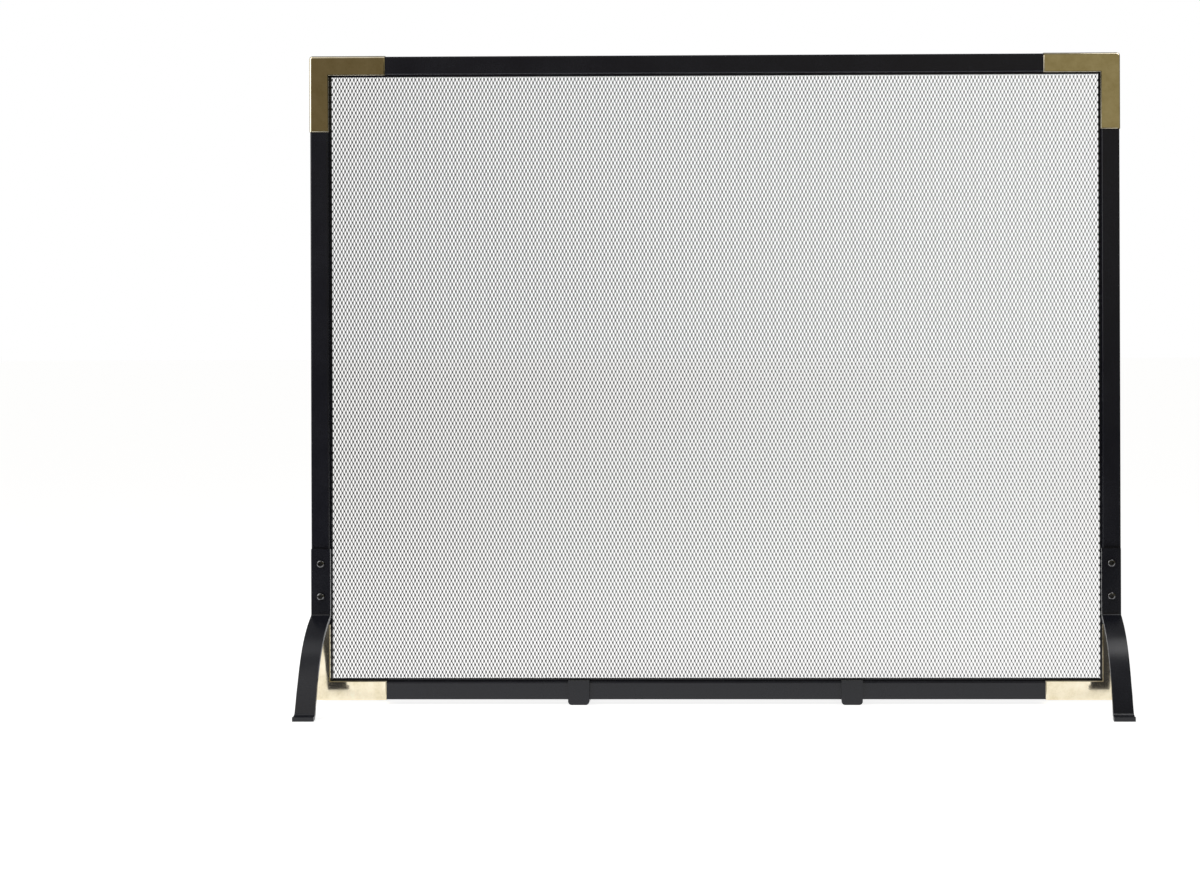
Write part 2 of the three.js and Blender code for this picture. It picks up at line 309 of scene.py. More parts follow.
def powderCoat(name):
    # fine satin black powder coat: an orange-peel skin, cloudy gloss and a little settled dust
    look = coatLook
    colour, lighter = look[name]
    finish = Finish(name)
    clouds = finish.noise(look["cloudScale"], detail=5, roughness=0.6)
    grain = finish.noise(look["grainScale"], detail=2)
    skin = finish.noise(look["skinScale"], detail=3, roughness=0.55)
    tone = finish.mix(finish.spread(clouds, 0, 1), colour, lighter)
    finish.feed("Base Color", finish.mix(finish.spread(grain, 0, look["dust"]), tone, lighter))
    lowest, highest = (look["roughness"] + change for change in look["cloudRoughness"])
    cloudy = finish.spread(clouds, lowest, highest)
    finish.feed("Roughness", finish.maths("ADD", cloudy, finish.spread(grain, *look["grainRoughness"])))
    peel = finish.bump(skin, *look["skinBump"])
    finish.feed("Normal", finish.bump(grain, *look["grainBump"], under=peel))
    finish.fixed(IOR=1.5, Specular_IOR_Level=look["shine"])
    return finish.material


brassLook = {
    "clean": (0.89, 0.81, 0.635),
    "aged": (0.66, 0.57, 0.37),
    "ageing": 0.75,  # how aged the oldest patches are
    "specks": (0.7, 1.1),
    "roughness": 0.055,
    "grainRoughness": (-0.02, 0.03),
    "patchRoughness": (-0.01, 0.03),
    "grainScale": 60,
    "grainStretch": (1, 30, 45),  # along, through and across an arm
    "patchScale": 55,
    "speckScale": 420,
    "grainBump": (0.004 * mm, 0.35),
}


def polishedBrass():
    # the grain follows each arm of a cap and changes direction along the corner's diagonal
    look = brassLook
    finish = Finish("polishedBrass")
    axes = finish.add("ShaderNodeSeparateXYZ")
    finish.link(finish.place, axes.inputs["Vector"])
    low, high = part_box("left_stile")
    fromMiddle = finish.maths("SUBTRACT", axes.outputs["Z"], (low.z + high.z) / 2)
    inX = finish.maths("SUBTRACT", railHigh.x, finish.maths("ABSOLUTE", axes.outputs["X"]))
    inZ = finish.maths("SUBTRACT", (high.z - low.z) / 2, finish.maths("ABSOLUTE", fromMiddle))
    acrossArm = finish.maths("GREATER_THAN", inX, inZ)
    stretch = look["grainStretch"]
    across = finish.noise(look["grainScale"], detail=6, roughness=0.65, stretch=stretch)
    along = finish.noise(look["grainScale"], detail=6, roughness=0.65, stretch=stretch[::-1])
    grain = finish.mix(acrossArm, along, across, "FLOAT")
    patches = finish.noise(look["patchScale"], detail=5, roughness=0.6)
    specks = finish.spread(finish.noise(look["speckScale"], detail=3), *look["specks"])
    aged = finish.maths("MULTIPLY", finish.spread(patches, 0.0, look["ageing"]), specks)
    finish.feed("Base Color", finish.mix(aged, look["clean"], look["aged"]))
    lowest, highest = (look["roughness"] + change for change in look["grainRoughness"])
    brushed = finish.spread(grain, lowest, highest)
    finish.feed("Roughness", finish.maths("ADD", brushed, finish.spread(patches, *look["patchRoughness"])))
    finish.feed("Normal", finish.bump(grain, *look["grainBump"]))
    finish.fixed(Metallic=1.0)
    return finish.material


meshLook = {
    "dark": (0.016, 0.015, 0.012),
    "light": (0.034, 0.031, 0.024),
    "fleck": (0.05, 0.046, 0.038),
    "flecked": 0.4,
    "hazeScale": 5,
    "fleckScale": 900,
    "roughness": (0.42, 0.6),
}


def meshCoat():
    # a thin sooty coat on the strands
    look = meshLook
    finish = Finish("meshCoat")
    haze = finish.noise(look["hazeScale"], detail=4, roughness=0.6)
    fleck = finish.noise(look["fleckScale"], detail=2)
    tone = finish.mix(finish.spread(haze, 0, 1), look["dark"], look["light"])
    finish.feed("Base Color", finish.mix(finish.spread(fleck, 0, look["flecked"]), tone, look["fleck"]))
    finish.feed("Roughness", finish.spread(fleck, *look["roughness"]))
    finish.fixed(IOR=1.5)
    return finish.material


oxideLook = {
    "tones": [(0.35, (0.10, 0.10, 0.105)), (0.7, (0.20, 0.20, 0.205))],
    "cloudScale": 240,
    "turningScale": 1500,
    "roughness": (0.14, 0.24),
    "turningBump": (0.008 * mm, 0.3),
}


def blackOxide():
    # blackened steel with fine turning marks
    look = oxideLook
    finish = Finish("blackOxide")
    clouds = finish.noise(look["cloudScale"], detail=4, roughness=0.6)
    turning = finish.noise(look["turningScale"], detail=2)
    finish.feed("Base Color", finish.ramp(clouds, look["tones"]))
    finish.feed("Roughness", finish.spread(turning, *look["roughness"]))
    finish.feed("Normal", finish.bump(turning, *look["turningBump"]))
    finish.fixed(Metallic=1.0)
    return finish.material


# frame tubes

tubeSet = {
    "wall": 1.2 * mm,
    "corner": 2 * mm,
    "cornerSteps": 6,
    "boltHole": 2.75 * mm,
    "screwHole": 2.1 * mm,
}


def squareTube(node, material):
    low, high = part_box(node)
    size = high - low
    long = 0 if size.x > size.z else 2
    inward = 2 - long  # the axis that points into the opening
    halfLong = size[long] / 2
    middle = (low + high) / 2
    inside = 1 if middle[inward] < (cadBox[0][inward] + cadBox[1][inward]) / 2 else -1
    tube = addBlock(low, high)

    selectInside(tube, "FACE", lambda face: abs(face.normal[long]) > 0.9)
    bpy.ops.mesh.delete(type="ONLY_FACE")
    leaveEdit()
    roundEdges(
        tube, lambda edge: abs((edge.verts[0].co - edge.verts[1].co)[long]) > halfLong,
        tubeSet["corner"], tubeSet["cornerSteps"],
    )
    applyModifier(tube, "SOLIDIFY", thickness=tubeSet["wall"], offset=-1, use_even_offset=True)

    # the mitre: a block whose inner face is shorter by its depth at each end
    reach = Vector((over, over, over))
    cutter = addBlock(low - reach, high + reach)
    selectInside(cutter, "FACE", lambda face: face.normal[inward] * inside > 0.9)
    squeeze = [1, 1, 1]
    squeeze[long] = (halfLong - size[inward] - over) / (halfLong + over)
    bpy.ops.transform.resize(value=squeeze, center_override=middle)
    leaveEdit()
    combine(tube, cutter, "INTERSECT")

    for drill in drillsThrough(node):
        combine(tube, drill, "DIFFERENCE")
    return handOver(tube, camel(node), node, material)


def camel(node):
    first, *rest = node.split("_")
    return first + "".join(word.capitalize() for word in rest)


def centreOf(node):
    low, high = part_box(node)
    return (low + high) / 2


def drillsThrough(node):
    side = node.split("_")[0]
    if node.endswith("stile"):
        places = [centreOf(f"{side}_{level}_washer") for level in ("lower", "upper")]
        return [
            addRod(tubeSet["boltHole"], frameFront - over, frameBack + over, place.x, place.z)
            for place in places
        ]
    if node == "bottom_rail":
        places = [centreOf(f"{hand}_rest_foot_screw") for hand in ("left", "right")]
        return [
            addRod(tubeSet["screwHole"], frameBack - 2 * tubeSet["wall"], frameBack + over, place.x, place.z)
            for place in places
        ]
    return []


weldSet = {"width": 2.6 * mm, "height": 0.35 * mm, "inset": 2.5 * mm, "segments": 44, "rings": 24}


def weldSeam(across, up, material):
    # a dressed weld across the back of a mitre, from the outer corner towards the inner one
    tube = railHigh.z - railLow.z
    corner = Vector((across * railHigh.x, frameBack, railHigh.z if up > 0 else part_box("bottom_rail")[0].z))
    run = (tube - 2 * weldSet["inset"]) * math.sqrt(2)
    middle = corner + Vector((-across * tube / 2, 0, -up * tube / 2))
    bpy.ops.object.select_all(action="DESELECT")
    bpy.ops.mesh.primitive_uv_sphere_add(
        segments=weldSet["segments"], ring_count=weldSet["rings"], radius=1,
    )
    seam = bpy.context.object
    seam.scale = (weldSet["width"] / 2, weldSet["height"], run / 2)
    seam.rotation_euler.y = math.radians(45) * across * up
    seam.location = middle
    applyPlace(seam)
    name = f"weldSeam{'Top' if up > 0 else 'Bottom'}{'Right' if across > 0 else 'Left'}"
    return handOver(seam, name, None, material, smooth=60)


# mesh

weaveSet = {
    "columns": 211.5,  # diamonds across the sheet
    "rows": 82.5,  # diamonds up the sheet
    "halfStrand": 0.22 * mm,
    "bond": 1.2 * mm,  # half height of the blunt side of an opening, beside a bond
    "twist": 0.85 * mm,  # how far the two sides of an opening are twisted apart from the middle
    "thickness": 0.25 * mm,
    "bands": 8,  # the sheet is made in level bands, joined edge to edge
    "rowsInBand": 11,
}


def meshCell(width, height):
    # one diamond opening with its half of the strands around it, lying in the plane of the sheet
    bpy.ops.object.select_all(action="DESELECT")
    bpy.ops.mesh.primitive_circle_add(vertices=4, radius=0.5, fill_type="NGON", rotation=(math.pi / 2, 0, 0))
    cell = bpy.context.object
    cell.scale = (width, height, 1)
    applyPlace(cell)
    selectInside(cell, "FACE", lambda face: True)
    bpy.ops.mesh.inset(thickness=weaveSet["halfStrand"], use_even_offset=True)
    bpy.ops.mesh.delete(type="FACE")
    leaveEdit()

    inner = width / 2 - 0.1 * mm
    selectInside(cell, "VERT", lambda v: abs(v.co.z) < near and abs(v.co.x) < inner)
    bpy.ops.mesh.bevel(offset=weaveSet["bond"], segments=1, affect="VERTICES")
    bpy.ops.mesh.select_all(action="SELECT")
    bpy.ops.mesh.remove_doubles(threshold=0.1 * mm)
    leaveEdit()
    for side in (-1, 1):
        selectInside(cell, "VERT", lambda v: v.co.x * side > 0.2 * mm and abs(v.co.z) > near)
        bpy.ops.transform.translate(value=(0, -side * weaveSet["twist"], 0))
        leaveEdit()
    return cell


def repeat(piece, count, step):
    applyModifier(
        piece, "ARRAY", count=count, use_relative_offset=False, use_constant_offset=True,
        constant_offset_displace=step, use_merge_vertices=True, merge_threshold=near,
    )


def cutAway(piece, point, normal):
    selectInside(piece, "FACE", lambda face: True)
    bpy.ops.mesh.bisect(plane_co=point, plane_no=normal, clear_outer=True)
    bpy.ops.mesh.select_all(action="SELECT")
    bpy.ops.mesh.delete_loose()
    leaveEdit()


def meshPanel(material):
    low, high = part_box("mesh_panel")
    width = (high.x - low.x) / weaveSet["columns"]
    height = (high.z - low.z) / weaveSet["rows"]
    rows = weaveSet["rowsInBand"]
    band = meshCell(width, height)
    repeat(band, 2, (width / 2, 0, height / 2))
    repeat(band, int(weaveSet["columns"]) + 2, (width, 0, 0))
    repeat(band, rows + 1, (0, 0, height))
    band.location = (low.x - width / 2, frameMid, low.z - height / 2)
    applyPlace(band)
    cutAway(band, low, (-1, 0, 0))
    cutAway(band, high, (1, 0, 0))
    cutAway(band, low, (0, 0, -1))
    cutAway(band, (0, 0, low.z + rows * height), (0, 0, 1))

    for i in range(weaveSet["bands"]):
        strip = copyOf(band)
        strip.location.z = i * rows * height
        applyPlace(strip)
        if low.z + (i + 1) * rows * height > high.z:
            cutAway(strip, high, (0, 0, 1))
        applyModifier(strip, "SOLIDIFY", thickness=weaveSet["thickness"], offset=0)
        handOver(strip, f"meshBand{i + 1}", "mesh_panel", material, 25, evenShine=False)
    throwAway(band)


# brass corner caps

capSet = {
    "sheet": 0.8 * mm,
    "width": 23.8 * mm,
    "cornerRound": 4.2 * mm,
    "cornerSteps": 6,
    "edgeRound": 3.0 * mm,
    "edgeSteps": 6,
    "pillow": 1.1 * mm,  # how far in from the inner and end edges the face starts to fall away
    "fall": 0.16 * mm,
    "lipRound": 0.9 * mm,
    "lipSteps": 3,
    "innerWall": 8.8 * mm,  # how deep the walls beside the mesh are
}


def capForm(low, high, wide, cornerRound, edgeRound):
    # a solid L with its outer corner and its outer front edges rounded
    form = addBlock((low.x, low.y, high.z - wide), (low.x + wide, high.y, high.z))
    selectInside(form, "FACE", lambda face: face.normal.x > 0.9)
    reach = high.x - low.x - wide
    bpy.ops.mesh.extrude_region_move(TRANSFORM_OT_translate={"value": (reach, 0, 0)})
    leaveEdit()
    selectInside(form, "FACE", lambda f: f.normal.z < -0.9 and f.calc_center_median().x < low.x + wide)
    drop = high.z - wide - low.z
    bpy.ops.mesh.extrude_region_move(TRANSFORM_OT_translate={"value": (0, 0, -drop)})
    leaveEdit()
    roundEdges(
        form, lambda edge: all(v.co.x < low.x + near and v.co.z > high.z - near for v in edge.verts),
        cornerRound, capSet["cornerSteps"],
    )
    corner = Vector((low.x + cornerRound, 0, high.z - cornerRound))

    def outside(v):
        return v.co.y < low.y + near and (
            v.co.x < low.x + near or v.co.z > high.z - near
            or (v.co.x < corner.x and v.co.z > corner.z)
        )

    roundEdges(
        form,
        lambda edge: all(outside(v) for v in edge.verts)
        and any(abs(face.normal.y) < 0.1 and abs(face.normal.x) + abs(face.normal.z) > 0.9
                and (face.normal.x < -0.1 or face.normal.z > 0.1) for face in edge.link_faces),
        edgeRound, capSet["edgeSteps"],
    )
    return form


def cornerCap():
    # the top left cap: pressed over the front, the outer sides and the inner edges of the mitre
    low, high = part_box("corner_cap_top_left")
    wide, sheet = capSet["width"], capSet["sheet"]
    cap = capForm(low, high, wide, capSet["cornerRound"], capSet["edgeRound"])

    def atInnerEdge(v):
        return (
            v.co.x > high.x - near or v.co.z < low.z + near
            or (v.co.x > low.x + wide - near and v.co.z < high.z - wide + near)
        )

    # the polished face falls away a little towards its inner and end edges
    selectInside(cap, "FACE", lambda face: face.normal.y < -0.999)
    bpy.ops.mesh.inset(thickness=capSet["pillow"], use_even_offset=True)
    leaveEdit()
    selectInside(cap, "VERT", lambda v: v.co.y < low.y + near and atInnerEdge(v))
    bpy.ops.transform.translate(value=(0, capSet["fall"], 0))
    leaveEdit()
    fallen = low.y + capSet["fall"]
    roundEdges(
        cap,
        lambda edge: all(abs(v.co.y - fallen) < near and atInnerEdge(v) for v in edge.verts)
        and any(abs(face.normal.y) < 0.1 for face in edge.link_faces),
        capSet["lipRound"], capSet["lipSteps"],
    )

    hollow = capForm(
        low + Vector((sheet, sheet, -over)), high + Vector((over, over, -sheet)), wide - 2 * sheet,
        capSet["cornerRound"] - sheet, capSet["edgeRound"] - sheet,
    )
    combine(cap, hollow, "DIFFERENCE")
    combine(cap, addBlock(
        (low.x + wide - sheet - near, low.y + capSet["innerWall"], low.z - over),
        (high.x + over, high.y + over, high.z - wide + sheet + near),
    ), "DIFFERENCE")
    return cap


def allCaps(material):
    corners = ["top_left", "top_right", "bottom_right", "bottom_left"]
    first = cornerCap()
    home = centreOf("corner_cap_top_left")
    for turns, corner in enumerate(corners):
        node = f"corner_cap_{corner}"
        cap = copyOf(first)
        cap.data.transform(Matrix.Translation(-home))
        cap.rotation_euler.y = turns * math.pi / 2
        cap.location = centreOf(node)
        applyPlace(cap)
        handOver(cap, camel(node), node, material)
    throwAway(first)


# legs

legSet = {
    "thickness": 5 * mm,
    "width": 23.4 * mm,
    "bend": 112 * mm,
    "bendRadius": 5 * mm,
    "archStart": math.radians(20),
    "archEnd": math.radians(67),
    "archPull": 55 * mm,
    "toeRadius": 9 * mm,
    "toeFlat": 6 * mm,
    "toeWidth": 25.4 * mm,
    "toeFlare": 30 * mm,
    "flareSteps": 4,
    "toeCorner": 7.5 * mm,
    "toeCornerSteps": 6,
    "curveSteps": 14,
    "edge": 1.1 * mm,
}


def legCurve(reach, top):
    # the middle line of the bar in the side view: x is forward of the plate and y is the height
    s = legSet
    half = s["thickness"] / 2
    bendTurn = math.pi / 2 - s["archStart"]
    bendPull = s["bendRadius"] * 4 / 3 * math.tan(bendTurn / 4)
    toePull = s["toeRadius"] * 4 / 3 * math.tan(s["archEnd"] / 4)
    down = Vector((0, -1, 0))
    startWay = Vector((math.cos(s["archStart"]), -math.sin(s["archStart"]), 0))
    endWay = Vector((math.cos(s["archEnd"]), -math.sin(s["archEnd"]), 0))
    forward = Vector((1, 0, 0))
    plateTop = Vector((0, top, 0))
    bendStart = Vector((0, s["bend"], 0))
    roundBend = Vector((1 - math.sin(s["archStart"]), -math.cos(s["archStart"]), 0))
    archStart = bendStart + s["bendRadius"] * roundBend
    toeFlat = Vector((reach - s["toeFlat"], half, 0))
    roundToe = Vector((-math.sin(s["archEnd"]), 1 - math.cos(s["archEnd"]), 0))
    archEnd = toeFlat + s["toeRadius"] * roundToe
    tip = Vector((reach, half, 0))
    pulls = [
        (plateTop, down, s["bendRadius"], s["bendRadius"]),
        (bendStart, down, s["bendRadius"], bendPull),
        (archStart, startWay, bendPull, s["archPull"]),
        (archEnd, endWay, s["archPull"], toePull),
        (toeFlat, forward, toePull, half),
        (tip, forward, half, half),
    ]
    return [(point, point - way * before, point + way * after) for point, way, before, after in pulls]


def bentLeg(hand, material):
    node = f"{hand}_leg"
    low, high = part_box(node)
    plate = centreOf(f"{hand}_lower_bolt")
    half = legSet["thickness"] / 2
    plateY = high.y - half
    bpy.ops.object.select_all(action="DESELECT")
    bpy.ops.curve.primitive_bezier_curve_add(radius=1)
    line = bpy.context.object
    line.data.dimensions = "2D"
    line.data.fill_mode = "NONE"
    line.data.resolution_u = legSet["curveSteps"]
    line.data.extrude = legSet["width"] / 2
    spline = line.data.splines[0]
    stations = legCurve(plateY - low.y, high.z)
    spline.bezier_points.add(len(stations) - len(spline.bezier_points))
    for knot, (point, before, after) in zip(spline.bezier_points, stations):
        knot.handle_left_type = knot.handle_right_type = "FREE"
        knot.co, knot.handle_left, knot.handle_right = point, before, after
    onlySelect(line)
    bpy.ops.object.convert(target="MESH")
    leg = bpy.context.object
    leg.location = (plate.x, plateY, 0)
    leg.rotation_euler = (math.pi / 2, 0, -math.pi / 2)
    applyPlace(leg)
    selectInside(leg, "VERT", lambda v: True)
    bpy.ops.mesh.remove_doubles(threshold=near)
    leaveEdit()

    # the toe spreads a little, in a few steps, and its two corners are rounded
    steps = legSet["flareSteps"]
    spread = (legSet["toeWidth"] / legSet["width"]) ** (1 / steps)
    for i in range(steps):
        limit = low.y + legSet["toeFlare"] * (1 - (i + 0.5) / steps)
        selectInside(leg, "VERT", lambda v: v.co.y < limit)
        bpy.ops.transform.resize(value=(spread, 1, 1), center_override=(plate.x, 0, 0))
        leaveEdit()
    selectInside(leg, "VERT", lambda v: v.co.y < low.y + 0.1 * mm)
    bpy.ops.mesh.bevel(offset=legSet["toeCorner"], segments=legSet["toeCornerSteps"], affect="VERTICES")
    leaveEdit()
    applyModifier(leg, "SOLIDIFY", thickness=legSet["thickness"], offset=0, use_even_offset=True)
    for level in ("lower", "upper"):
        place = centreOf(f"{hand}_{level}_bolt")
        start = high.y - 2 * legSet["thickness"]
        combine(leg, addRod(tubeSet["boltHole"], start, high.y + over, place.x, place.z), "DIFFERENCE")
    ease(leg, legSet["edge"], angle=50)
    return handOver(leg, camel(node), node, material, smooth=40)


# fasteners

boltSet = {
    "shank": 2.5 * mm,
    "head": 4.75 * mm,
    "headHeight": 2.75 * mm,
    "crown": 2.1 * mm,  # how much of the head's edge is rounded off
    "socket": 1.95 * mm,
    "socketDepth": 1.6 * mm,
    "length": 34 * mm,
    "tip": 0.5 * mm,
    "edge": 0.12 * mm,
}
screwSet = {
    "shank": 2 * mm,
    "head": 3.8 * mm,
    "headHeight": 2.2 * mm,
    "crown": 1.7 * mm,
    "socket": 1.45 * mm,
    "socketDepth": 1.3 * mm,
    "length": 8 * mm,
    "tip": 0.5 * mm,
    "edge": 0.1 * mm,
}
washerSet = {"outer": 5.2 * mm, "inner": 2.75 * mm, "thickness": 1 * mm, "edge": 0.2 * mm}
nutSet = {
    "acrossFlats": 8 * mm,
    "hexHeight": 4 * mm,
    "dome": 3.7 * mm,
    "domeHeight": 4 * mm,
    "bore": 2.65 * mm,
    "crown": 2 * mm,
    "chamfer": 0.75 * mm,
    "edge": 0.3 * mm,
}


def buttonHeadBolt(s):
    # the head's underside is at y = 0 and the socket faces the room
    bolt = addRod(s["head"], -s["headHeight"], 0, sides=64)
    roundEdges(
        bolt, lambda edge: all(v.co.y < near - s["headHeight"] for v in edge.verts), s["crown"], 8,
    )
    socket = addRod(s["socket"], -2 * s["headHeight"], s["socketDepth"] - s["headHeight"], sides=6)
    combine(bolt, socket, "DIFFERENCE")
    shank = addRod(s["shank"], -0.2 * mm, s["length"], sides=40)
    roundEdges(shank, lambda edge: all(v.co.y > s["length"] - near for v in edge.verts), s["tip"], 2)
    combine(bolt, shank, "UNION")
    ease(bolt, s["edge"], angle=50, segments=2)
    return bolt


def flatWasher():
    washer = addRod(washerSet["outer"], 0, washerSet["thickness"], sides=64)
    combine(washer, addRod(washerSet["inner"], -over, 2 * washerSet["thickness"]), "DIFFERENCE")
    ease(washer, washerSet["edge"])
    return washer


def domedNut():
    s = nutSet
    toCorner = s["acrossFlats"] / math.sqrt(3)
    nut = addRod(toCorner, 0, s["hexHeight"], sides=6)
    # a turned cone takes the hexagon's corners off
    cone = addRod(toCorner * 1.02, -s["edge"], s["hexHeight"], sides=64)
    roundEdges(cone, lambda edge: all(v.co.y > s["hexHeight"] - near for v in edge.verts), s["chamfer"], 1)
    combine(nut, cone, "INTERSECT")
    bpy.ops.object.select_all(action="DESELECT")
    bpy.ops.mesh.primitive_uv_sphere_add(segments=48, ring_count=24, radius=1, rotation=(math.pi / 2, 0, 0))
    dome = bpy.context.object
    applyPlace(dome)
    dome.scale = (s["dome"], s["domeHeight"], s["dome"])
    dome.location.y = s["hexHeight"] - 0.1 * mm
    applyPlace(dome)
    combine(dome, addBlock((-1, -1, -1), (1, s["hexHeight"] / 2, 1)), "DIFFERENCE")
    combine(nut, dome, "UNION")
    combine(nut, addRod(s["bore"], -over, s["hexHeight"] + s["domeHeight"] - s["crown"]), "DIFFERENCE")
    ease(nut, s["edge"] / 2, angle=35, segments=2)
    return nut


def placeFastener(model, node, y, material, turn=0.0):
    place = centreOf(node)
    piece = copyOf(model)
    piece.rotation_euler.z = turn
    piece.location = (place.x, y, place.z)
    applyPlace(piece)
    handOver(piece, camel(node), node, material, smooth=40)


def allFasteners(material):
    models = {"bolt": buttonHeadBolt(boltSet), "washer": flatWasher(), "nut": domedNut()}
    underHead = {"bolt": boltSet["headHeight"], "washer": 0, "nut": 0}
    for hand in ("left", "right"):
        for level in ("lower", "upper"):
            for kind, model in models.items():
                node = f"{hand}_{level}_{kind}"
                placeFastener(model, node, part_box(node)[0].y + underHead[kind], material)
    for model in models.values():
        throwAway(model)
    screw = buttonHeadBolt(screwSet)
    for hand in ("left", "right"):
        node = f"{hand}_rest_foot_screw"
        placeFastener(screw, node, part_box(node)[1].y - screwSet["headHeight"], material, math.pi)
    throwAway(screw)
    print("fasteners made")


# rest feet

footSet = {
    "wall": 3 * mm,
    "fit": 0.1 * mm,
    "hookReach": 7 * mm,
    "backHeight": 23 * mm,
    "tailTip": 5 * mm,
    "tailRoot": 9 * mm,
    "heel": 22 * mm,
    "relief": 1.5 * mm,
    "soleCorner": 4.5 * mm,
    "soleSteps": 6,
    "tailCorner": 9 * mm,
    "tailSteps": 8,
    "longEdge": 30 * mm,  # an edge of the sole is longer than this
    "edge": 0.6 * mm,
}


def restFoot(hand, material):
    node = f"{hand}_rest_foot"
    low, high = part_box(node)
    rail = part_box("bottom_rail")
    s = footSet
    fit, wall = s["fit"], s["wall"]
    railFront, railBack = rail[0].y - fit, rail[1].y + fit
    railBase, railTop = rail[0].z - fit, rail[1].z + fit
    backFace, heelStart = railBack + wall, high.y - s["heel"]
    outline = [
        (low.y, low.z), (backFace, low.z), (backFace + s["relief"], low.z + s["relief"]),
        (heelStart, low.z + s["relief"]), (heelStart + s["relief"], low.z), (high.y, low.z),
        (high.y, s["tailTip"]), (backFace + wall, s["tailRoot"]), (backFace, s["tailRoot"] + wall),
        (backFace, s["backHeight"]), (railBack, s["backHeight"]), (railBack, railBase),
        (railFront, railBase), (railFront, railTop), (railFront + s["hookReach"], railTop),
        (railFront + s["hookReach"], high.z), (low.y, high.z),
    ]
    bpy.ops.object.select_all(action="DESELECT")
    bpy.ops.mesh.primitive_circle_add(vertices=len(outline), radius=1, fill_type="NGON")
    foot = bpy.context.object
    for vertex, (y, z) in zip(foot.data.vertices, outline):
        vertex.co = (low.x, y, z)
    selectInside(foot, "FACE", lambda face: True)
    bpy.ops.mesh.extrude_region_move(TRANSFORM_OT_translate={"value": (high.x - low.x, 0, 0)})
    bpy.ops.mesh.select_all(action="SELECT")
    bpy.ops.mesh.normals_make_consistent(inside=False)
    leaveEdit()

    # the sole's two long corners and the tail's end are rounded by a block of that shape
    mould = addBlock(low - Vector((0, 5 * over, 0)), high + Vector((0, 0, 5 * over)))
    roundEdges(
        mould,
        lambda edge: all(v.co.y > high.y - near for v in edge.verts)
        and abs(edge.verts[0].co.z - edge.verts[1].co.z) > near,
        s["tailCorner"], s["tailSteps"],
    )
    roundEdges(
        mould,
        lambda edge: all(v.co.z < low.z + near for v in edge.verts)
        and edge.verts[0].co.x == edge.verts[1].co.x
        and abs(edge.verts[0].co.y - edge.verts[1].co.y) > s["longEdge"],
        s["soleCorner"], s["soleSteps"],
    )
    combine(foot, mould, "INTERSECT")
    screw = centreOf(f"{hand}_rest_foot_screw")
    drill = addRod(tubeSet["screwHole"], railBack - over, backFace + wall + over, screw.x, screw.z)
    combine(foot, drill, "DIFFERENCE")
    ease(foot, s["edge"], angle=30)
    return handOver(foot, camel(node), node, material, smooth=35)


# floor, lights and background

studioSet = {
    "floorTone": 0.5,
    "floorGlow": 0.84,  # keeps the shadows on the floor very light
    "farSize": (30, 30),
    "farDrop": 0.6 * mm,
    "nearSize": (5.0, 3.6),  # the part of the floor that shows in the gloss of the metal
    "nearAt": 1.3,
    "nearDrop": 0.3 * mm,
    "aim": (0, 0, 0.45),  # where the light panels point
    "leftPanel": {"size": (1.5, 1.3), "place": (-1.6, -0.6, 1.0), "power": 13},
    "leftTopPanel": {"size": (0.7, 0.8), "place": (-1.05, -0.3, 1.5), "power": 1.7},
    "rightTopPanel": {"size": (0.7, 0.8), "place": (0.95, -0.3, 1.5), "power": 5.2},
}


def addSoftbox(name, size, place, power):
    bpy.ops.object.light_add(type="AREA", location=place)
    lamp = bpy.context.object
    lamp.name = name
    lamp.data.shape = "RECTANGLE"
    lamp.data.size, lamp.data.size_y = size
    lamp.data.energy = power
    towards = Vector(studioSet["aim"]) - Vector(place)
    lamp.rotation_euler = towards.to_track_quat("-Z", "Y").to_euler()


def makeFloor():
    paint = bpy.data.materials.new("paleFloor")
    paint.use_nodes = True
    tone = studioSet["floorTone"]
    shader = paint.node_tree.nodes["Principled BSDF"]
    shader.inputs["Base Color"].default_value = (tone, tone, tone, 1)
    shader.inputs["Roughness"].default_value = 0.9
    shader.inputs["Specular IOR Level"].default_value = 0
    shader.inputs["Emission Color"].default_value = (1, 1, 1, 1)
    shader.inputs["Emission Strength"].default_value = studioSet["floorGlow"]
    sheets = (
        ("paleFloor", studioSet["farSize"], 0, -studioSet["farDrop"]),
        ("paleFloorNear", studioSet["nearSize"], studioSet["nearAt"], -studioSet["nearDrop"]),
    )
    for name, size, y, z in sheets:
        bpy.ops.object.select_all(action="DESELECT")
        bpy.ops.mesh.primitive_plane_add(size=1, location=(0, y, z))
        sheet = bpy.context.object
        sheet.scale = (*size, 1)
        applyPlace(sheet)
        sheet.name = name
        sheet.data.materials.append(paint)
        sheet.visible_glossy = name == "paleFloorNear"


# the colours of the room that the metal mirrors, by the direction it looks in; a pair of plain
# numbers says where one colour gives way to the next, from -1 to 1 along an axis
roomSet = {
    "left": (0.145, 0.118, 0.067),  # a dim warm room at eye level
    "right": (0.285, 0.25, 0.14),
    "across": (-0.2, 0.15),
    "highLeft": (1.0, 0.98, 0.95),  # half way up in front: bright on the left and dark on the right
    "highRight": (0.12, 0.12, 0.11),
    "highFrom": (0.35, 0.55),
    "behind": (0.16, 0.16, 0.15),
    "behindFrom": (-0.3, 0.3),
    "above": (0.30, 0.30, 0.30),
    "aboveFrom": (0.70, 0.92),
    "below": (0.02, 0.02, 0.02),  # a dark floor far off
    "horizon": (-0.05, 0.0),
}


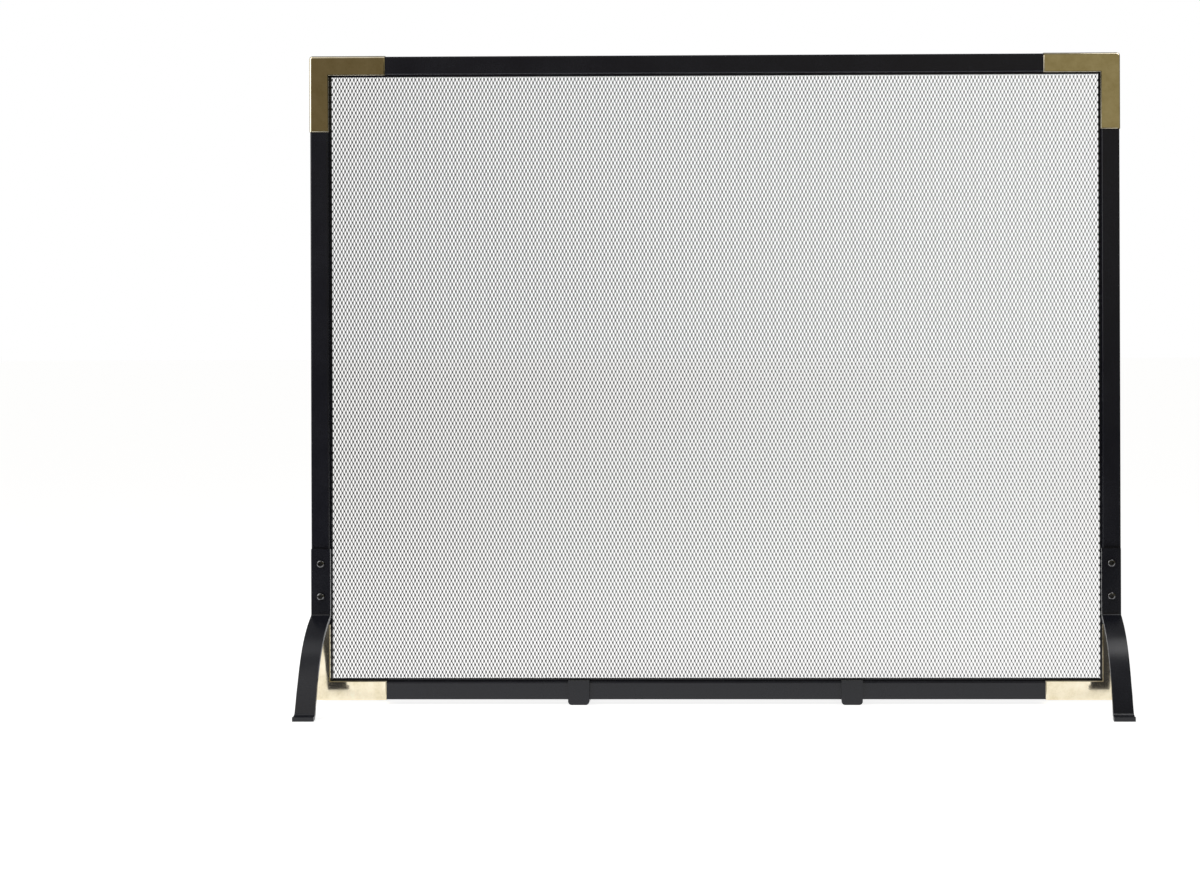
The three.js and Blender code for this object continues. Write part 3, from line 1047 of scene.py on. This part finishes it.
def makeRoom():
    # plain white to look at, while the metal mirrors the room
    world = bpy.data.worlds.new("studio")
    bpy.context.scene.world = world
    world.use_nodes = True
    tree = world.node_tree
    tree.nodes.clear()

    def blend(amount, first, second):
        node = tree.nodes.new("ShaderNodeMix")
        node.data_type = "RGBA"
        sockets = [socket for socket in node.inputs if socket.enabled]
        tree.links.new(amount, sockets[0])
        for socket, value in zip(sockets[1:], (first, second)):
            if isinstance(value, tuple):
                socket.default_value = (*value, 1)
            else:
                tree.links.new(value, socket)
        return [socket for socket in node.outputs if socket.enabled][0]

    def rise(source, start, end):
        node = tree.nodes.new("ShaderNodeMapRange")
        node.interpolation_type = "SMOOTHSTEP"
        node.inputs["From Min"].default_value = start
        node.inputs["From Max"].default_value = end
        tree.links.new(source, node.inputs["Value"])
        return node.outputs["Result"]

    way = tree.nodes.new("ShaderNodeTexCoord")
    split = tree.nodes.new("ShaderNodeSeparateXYZ")
    tree.links.new(way.outputs["Generated"], split.inputs["Vector"])
    across = rise(split.outputs["X"], *roomSet["across"])
    low = blend(across, roomSet["left"], roomSet["right"])
    high = blend(across, roomSet["highLeft"], roomSet["highRight"])
    front = blend(rise(split.outputs["Z"], *roomSet["highFrom"]), low, high)
    level = blend(rise(split.outputs["Y"], *roomSet["behindFrom"]), front, roomSet["behind"])
    lifted = blend(rise(split.outputs["Z"], *roomSet["aboveFrom"]), level, roomSet["above"])
    room = blend(rise(split.outputs["Z"], *roomSet["horizon"]), roomSet["below"], lifted)

    path = tree.nodes.new("ShaderNodeLightPath")
    lit = tree.nodes.new("ShaderNodeBackground")
    plain = tree.nodes.new("ShaderNodeBackground")
    plain.inputs["Color"].default_value = (1, 1, 1, 1)
    choose = tree.nodes.new("ShaderNodeMixShader")
    out = tree.nodes.new("ShaderNodeOutputWorld")
    tree.links.new(room, lit.inputs["Color"])
    tree.links.new(path.outputs["Is Camera Ray"], choose.inputs["Fac"])
    tree.links.new(lit.outputs["Background"], choose.inputs[1])
    tree.links.new(plain.outputs["Background"], choose.inputs[2])
    tree.links.new(choose.outputs["Shader"], out.inputs["Surface"])


def makeStudio():
    makeFloor()
    makeRoom()
    for name in ("leftPanel", "leftTopPanel", "rightTopPanel"):
        addSoftbox(name, **studioSet[name])
    bpy.context.scene.view_settings.view_transform = "Standard"


# assembly

makeCamera()
makeStudio()
print("camera and studio ready")

frameBlack, legBlack = powderCoat("frameBlack"), powderCoat("legBlack")
for node in ("top_rail", "bottom_rail", "left_stile", "right_stile"):
    squareTube(node, frameBlack)
for across in (-1, 1):
    for up in (-1, 1):
        weldSeam(across, up, frameBlack)
for side in ("top", "bottom", "left", "right"):
    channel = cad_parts[f"mesh_channel_{side}"]
    channel.data.materials.clear()
    channel.data.materials.append(frameBlack)
print("frame made")

meshPanel(meshCoat())
print("mesh made")
allCaps(polishedBrass())
print("caps made")
for hand in ("left", "right"):
    bentLeg(hand, legBlack)
    restFoot(hand, legBlack)
print("legs and feet made")
allFasteners(blackOxide())

bpy.context.view_layer.update()
